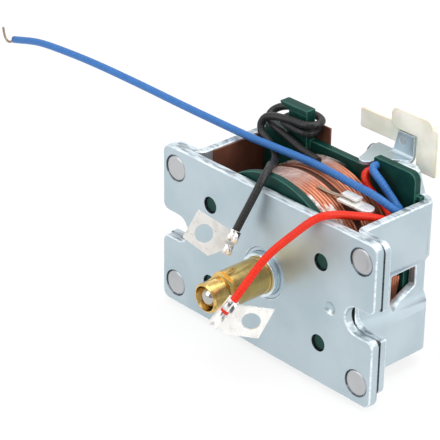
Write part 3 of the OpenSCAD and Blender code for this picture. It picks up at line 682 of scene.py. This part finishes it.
rivet_zinc = zinc_finish("rivet_zinc", tint(168, 172, 176), tint(188, 189, 191), (1, 1, 0.2))
rivet_sides = 40
rivet_profile = [
    (1.5, 0.22), (2.2, 0.2), (2.5, 0.12), (3.0, 0.08), (3.5, 0.14), (3.78, 0.36), (3.9, 0.75),
    (3.9, 1.5), (2.5, 1.5), (2.5, 5.7), (2.7, 5.7), (2.7, 6.6), (2.3, 7.0),
]
shell = bmesh.new()
for x, z, reach in rivet_holes:
    rings = []
    for r, y in rivet_profile:
        turn = [(r * mm * cos(a), r * mm * sin(a)) for a in full_turn(rivet_sides)]
        rings.append([(x + across, plate_y + y * mm, z + up) for across, up in turn])
    add_skin(shell, rings, [y * mm for r, y in rivet_profile])
keep("plate_rivets_swaged", shell, "plate_rivets", rivet_zinc)

# Plunger: zinc plated steel, with a brass push sleeve that holds a thrust ball in its nose.
# The sleeve's mouth is countersunk, and the ball lies behind it.
# A striker disc on the tail is held by a snap ring, and pulls the release lever's arm.

bright_zinc = turned_finish("bright_zinc", tint(206, 222, 230), tint(228, 238, 243), 0.22)
steel = turned_finish("turned_steel", tint(112, 116, 120), tint(150, 154, 158), 0.28)
ball_steel = turned_finish("ball_steel", tint(166, 164, 162), tint(200, 197, 194), 0.08)
dark_steel = turned_finish("dark_steel", tint(56, 58, 62), tint(84, 86, 90), 0.35)
rounded("plunger", 0.3 * mm, bright_zinc)

nose_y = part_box("push_sleeve")[0][1]
nose_face = 0.05 * mm
mouth_reach = 3.15 * mm
countersink_r = 3.7 * mm
shell = solid_shell("push_sleeve", 0.1 * mm)
for point in shell.verts:
    reach = hypot(point.co.x, point.co.z - axis_z)
    if point.co.y < nose_y + nose_face and reach < mouth_reach:
        point.co.x *= countersink_r / reach
        point.co.z = axis_z + (point.co.z - axis_z) * countersink_r / reach
keep("push_sleeve_turned", shell, "push_sleeve", brass, brass)
rounded("thrust_ball", 0.1 * mm, ball_steel)
rounded("striker_disc", 0.2 * mm, steel)
rounded("retaining_ring", 0.1 * mm, dark_steel)

# Return spring: round steel wire, coiled, between the pole core and the plunger in the guide tube.
# Its front end stays on the core. The real spring shortens as the plunger moves forward, but here
# it is built at one length only.

spring_low, spring_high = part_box("return_spring")
spring_turns = 5
spring_steps = 40
spring_sides = 10
spring_wire_r = 0.5 * mm
spring_r = (spring_high[0] - spring_low[0]) / 2 - spring_wire_r
spring_length = spring_high[1] - spring_low[1]
spring_run = spring_length - 2 * spring_wire_r
spring_path = []
for step in range(spring_steps * spring_turns + 1):
    turn = step / spring_steps
    y = spring_low[1] + spring_wire_r + spring_run * turn / spring_turns
    spring_path.append(round_axis(spring_r, y, 2 * pi * turn))
shell = bmesh.new()
add_tube(shell, spring_path, spring_wire_r, spring_sides)
spring = keep("return_spring_wire", shell, "return_spring", steel)
joints = {joint["name"]: joint for joint in frame["record"]["behaviour"]["joints"]}
stroke = joints["plunger_slide"]["range_m"][1]
(spring_length - stroke) / spring_length
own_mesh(spring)

# Release lever: a zinc plated strip on a pin in a riveted bracket behind the yoke.
# A natural nylon finger, moulded and slightly see-through, is riveted to its upright.


def nylon_finish(name, dark, pale):
    """Natural nylon: milky, lets a little light through, and wavy from the mould."""
    nylon = Finish(name)
    haze = nylon.noise(130, 4)
    return nylon.shade(
        {
            "Base Color": nylon.mix(nylon.step(haze, 0.3, 0.7), dark, pale),
            "Roughness": 0.3 + haze * 0.2,
            "Subsurface Weight": 0.35,
            "Subsurface Scale": 2 * mm,
            "Normal": nylon.bump(haze, 0.2 * mm),
        }
    )


nylon_face = nylon_finish("natural_nylon", tint(222, 223, 207), tint(243, 243, 232))
# The finger's rounded edges are painted darker, as painted shade that outlines them.
nylon_edge_shade = nylon_finish("nylon_edge_shade", tint(196, 196, 172), tint(224, 222, 202))
rounded("lever_bracket", 0.15 * mm, lit_yoke_zinc, rubbed_edge_highlight, wide=True)
rounded("bracket_rivets", 0.12 * mm, rivet_zinc)
rounded("lever_pin", 0.12 * mm, steel)
rounded("pin_clip", 0.08 * mm, dark_steel)
rounded("release_lever", 0.2 * mm, lit_yoke_zinc, rubbed_edge_highlight, wide=True)
rounded("finger_rivet", 0.1 * mm, rivet_zinc)
rounded("trip_finger", 0.4 * mm, nylon_face, nylon_edge_shade, wide=True)

# Blue lead: a varnished braided sleeve over a winding end, folded beside the tab and left open.
# It runs along the route of its solid, and the braid shows as fine crossing ribs.
# A hooked bare copper wire stands out of its end.

sleeve_r = 1.15 * mm
sleeve_sides = 16
braid_pitch = 2.2 * mm
braid_threads = 6
bare_r = 0.4 * mm
bare_sides = 10
route_steps = 6


def spot(x, y, z):
    """A place in millimetres from the middle of the plate's face, in the frame's metres."""
    return Vector((x * mm, plate_y + y * mm, axis_z + z * mm))


def smooth_route(points):
    """A curve through the points, without overshoot at uneven spacing."""
    spots = [spot(*p) for p in points]
    spots = [2 * spots[0] - spots[1]] + spots + [2 * spots[-1] - spots[-2]]
    path = []
    for a, b, c, d in zip(spots, spots[1:], spots[2:], spots[3:]):
        gap = (c - b).length
        before = (c - a) * (gap / ((b - a).length + gap))
        after = (d - b) * (gap / ((d - c).length + gap))
        for k in range(route_steps):
            t = k / route_steps
            path.append(
                b * (2 * t**3 - 3 * t**2 + 1)
                + before * (t**3 - 2 * t**2 + t)
                + c * (3 * t**2 - 2 * t**3)
                + after * (t**3 - t**2)
            )
    path.append(spots[-2])
    return path


def sleeve_finish(name, dark, pale):
    """Braid under varnish: two sets of ribs that cross along the sleeve."""
    sleeve = Finish(name)
    run = sleeve.node("SeparateXYZ", {}, {0: sleeve.node("TexCoord", {}, {}, "UV")})
    turn = run.beside(1)
    right = (run * (2 * pi / braid_pitch) + turn * (2 * pi * braid_threads)).sine()
    left = (run * (2 * pi / braid_pitch) - turn * (2 * pi * braid_threads)).sine()
    braid = right * left * 0.5 + 0.5
    wear = sleeve.noise(500, 4)
    return sleeve.shade(
        {
            "Base Color": sleeve.mix(braid * 0.5 + wear * 0.5, dark, pale),
            "Roughness": 0.3 + wear * 0.2,
            "Specular IOR Level": 0.3,
            "Normal": sleeve.bump(braid * 0.7 + wear * 0.3, 0.06 * mm),
        }
    )


def lead(name, points, material):
    """The sleeve of one lead along its route."""
    path = smooth_route(points)
    shell = bmesh.new()
    add_tube(shell, path, sleeve_r, sleeve_sides)
    piece = keep(name + "_sleeve", shell, name, material)
    sum((b - a).length for a, b in zip(path, path[1:]))


blue_route = [
    (15.6, 28.2, 30.7), (15.6, 26.8, 30.7), (16.7, 25.4, 30.4), (18.4, 24.9, 29.6),
    (20.6, 25, 28), (23.2, 25.3, 25.5), (25.8, 25.4, 23.3), (28, 24.6, 22.7),
    (29.3, 23, 23), (29.4, 21.2, 24.2), (28.2, 19.8, 25.6), (26, 19.1, 26.7),
    (22, 19, 27.3), (14, 19, 27.6), (6, 19, 28.1), (-2, 19, 28.2),
    (-10, 19, 27.9), (-18, 19, 27.5), (-26.5, 19, 27.1), (-38, 19, 27),
    (-56, 19, 27), (-76, 19, 27.2), (-96, 19, 27.1), (-112, 19, 26.4),
    (-126, 19, 25.1), (-139, 19, 22),
]
wire_route = [
    (-138, 19, 22.3), (-139, 19, 22), (-140.6, 19, 20.8), (-142.2, 19, 20.3),
    (-143.6, 19, 21), (-144.4, 19, 22.6), (-144.7, 19, 24.6),
]
blue_sleeve = sleeve_finish("blue_sleeve", tint(32, 86, 154), tint(66, 122, 184))
bare_wire = copper_finish("bare_wire", tint(112, 92, 76), tint(178, 156, 134), 0.7)
shell = bmesh.new()
add_tube(shell, smooth_route(wire_route), bare_r, bare_sides)
wire_end = keep("blue_wire_hook", shell, "blue_wire_end", bare_wire)
lead("blue_lead", blue_route, blue_sleeve)

# Red lead: the same sleeve in red, over the plate's edge to a flag terminal of tinned sheet.
# The terminal is stamped, and crimped in two places, with the sleeve's end as a band between them.

flag_turn = 47.3
lobe_sides = 14
lobe_across = 0.46
lobe_rise = 0.56
lobe_r = 0.54
red_crimp_length = 10.4
band_from = 3.3 * mm
band_to = 4.6 * mm
band_r = 1.28 * mm


def tin_finish(name, dark, pale, metal, dent):
    """Bright tin: streaks from the strip, and dents as deep as the crimping left them."""
    tin = Finish(name)
    dents = tin.noise(420, 1)
    streak = tin.noise(500, 1, (1, 1, 0.3))
    return tin.shade(
        {
            "Base Color": tin.mix(tin.step(streak * 0.6 + dents * 0.4, 0.36, 0.52), dark, pale),
            "Metallic": metal,
            "Roughness": 0.2 + dents * 0.2,
            "Normal": tin.bump(dents, dent),
        }
    )


def crimp_pose(route, tilt, angle):
    """Where a lead enters its terminal, with X along the crimp and Z out of the flag."""
    return (
        Matrix.Translation(spot(*route[-2]))
        @ Matrix.Rotation(radians(flag_turn), 4, "Z")
        @ Matrix.Rotation(radians(tilt), 4, "X")
        @ Matrix.Rotation(radians(angle), 4, "Z")
    )


def flag(node, pose, crimp_length):
    """A flag terminal. Two lobes along each crimp are the wings that curl in over the lead.

    Each crimp is a start, an end, a radius and a height along the pose, in millimetres."""
    crimps = ((0.15, 3.3, 1.6, 0.0), (4.5, crimp_length - 0.5, 1.2, -0.3))
    shell = solid_shell(node, 0.12 * mm)
    for start, end, crimp_r, height in crimps:
        for side in (-lobe_across, lobe_across):
            above = height + lobe_rise * crimp_r
            ends = [pose @ (Vector((x, side * crimp_r, above)) * mm) for x in (start, end)]
            add_tube(shell, ends, lobe_r * mm * crimp_r, lobe_sides, 2)
    return keep(node + "_flag", shell, node, tinned, tinned, crimp_tin)


red_route = [
    (13.5, 28.2, 28.4), (13.5, 26.7, 28.4), (13.8, 25.3, 27.9), (14.7, 24.6, 26.7),
    (16, 24.5, 25.2), (17.8, 24.5, 23.9), (20.2, 24.4, 22.9), (23, 23.9, 22),
    (25.8, 22.6, 21.4), (27.9, 20.8, 21.3), (29.1, 18.6, 21.9), (29.4, 16.4, 23),
    (29.1, 14.2, 24), (28.2, 11.8, 24.9), (27, 9.4, 25.5), (25.9, 7, 26.1),
    (24.8, 4, 26.9), (23.4, 0.8, 27.2), (21.6, -1.4, 26.3), (19.4, -3.1, 24.1),
    (16.6, -4.8, 20.8), (14.2, -6.6, 17.8), (12.6, -9, 15.2), (11.6, -12, 12.4),
    (11.1, -15, 9.4), (10.6, -18, 6.2), (10, -20.5, 3.3), (9.1, -21.5, 1.3),
]
red_sleeve = sleeve_finish("red_sleeve", tint(196, 22, 4), tint(226, 47, 12))
tinned = tin_finish("bright_tin", tint(226, 224, 220), tint(238, 236, 232), 0.5, 0.005 * mm)
crimp_tin = tin_finish("crimped_tin", tint(84, 84, 86), tint(250, 249, 247), 0.85, 0.3 * mm)
red_pose = crimp_pose(red_route, tilt=90, angle=-124.7)
red_flag = flag("red_terminal", red_pose, red_crimp_length)
lead("red_lead", red_route, red_sleeve)
shell = bmesh.new()
add_tube(shell, [red_pose @ Vector((x, 0, 0)) for x in (band_from, band_to)], band_r, sleeve_sides)
piece_on("frame", "red_band", shell, "red_sleeve", red_sleeve)

# Black lead: the same sleeve in black, round the cleat post and over the plate to its terminal.
# The post shows more than one wrap, so a second one is laid round it below the first.

black_route = [
    (-1, 21.6, 27.9), (-3, 21.9, 27.9), (-6, 22.5, 27.9), (-10, 23.3, 28),
    (-14.5, 24.2, 28.6), (-18.5, 24.9, 29.2), (-22.2, 25.2, 29.8), (-25.2, 25.8, 30.5),
    (-27, 27.1, 31.4), (-27.3, 28.9, 32.4), (-26, 30.6, 33.4), (-23.2, 31.5, 34.3),
    (-19.5, 31.7, 34.8), (-14.5, 31.7, 35), (-11, 31.5, 35), (-8.8, 30.4, 34.9),
    (-8, 28.4, 34.8), (-8.8, 26.4, 34.7), (-11, 25.2, 34.6), (-15, 25.1, 34.4),
    (-18.8, 24.8, 34), (-22.4, 24.2, 33.6), (-25, 23.6, 32.5), (-26.1, 23, 30.3),
    (-25.1, 22.4, 28.1), (-22.6, 22, 26.9), (-19.4, 21.2, 25.8), (-16, 19.2, 25.1),
    (-13.6, 16.6, 25.1), (-11.2, 13.6, 25.8), (-8.8, 10.6, 27.4), (-6, 7.6, 29.3),
    (-3.4, 4.6, 30.3), (-1.8, 1.8, 30), (-1.2, -0.6, 28.2), (-1.5, -2.6, 25),
    (-3.3, -4.3, 19.4), (-5.7, -5.5, 13.2), (-5.6, -6.9, 11.2),
]
wrap_route = [
    (-20.3, 30.4, 32.7), (-21, 28.8, 32.6), (-20.4, 26.5, 32.5), (-18.4, 25.35, 32.3),
    (-15, 25.3, 32.1), (-11.4, 25.4, 31.9), (-9.7, 26.6, 31.8), (-9.5, 28.6, 31.8),
    (-9.8, 30.6, 31.9),
]
black_crimp_length = 7.4
black_sleeve = sleeve_finish("black_sleeve", tint(4, 4, 5), tint(52, 52, 53))
black_pose = crimp_pose(black_route, tilt=62.4, angle=-112.3)
black_flag = flag("black_terminal", black_pose, black_crimp_length)
lead("black_lead", black_route, black_sleeve)
shell = bmesh.new()
add_tube(shell, smooth_route(wrap_route), sleeve_r, sleeve_sides)
piece_on("frame", "black_wrap", shell, "black_sleeve", black_sleeve)

# Splice: a folded clip of tinned sheet, which joins the ends of the windings on the divider's edge.
# Two bare strands of wire run out of it over the front winding.

strand_r = 0.3 * mm
strand_sides = 8
strand_routes = [
    [(16, 15.4, 25.1), (13.4, 14.7, 24.7), (11.2, 14, 25), (9.2, 13.4, 25.4), (7.2, 12.9, 26)],
    [(16, 16.1, 25.1), (13.6, 15.5, 24.8), (11.4, 14.8, 25), (9.4, 14.1, 25.4), (7.6, 13.7, 26)],
]
rounded("splice_clip", 0.1 * mm, tinned)
shell = bmesh.new()
for route in strand_routes:
    add_tube(shell, smooth_route(route), strand_r, strand_sides)
piece_on("frame", "splice_strands", shell, "tinned", bare_wire)
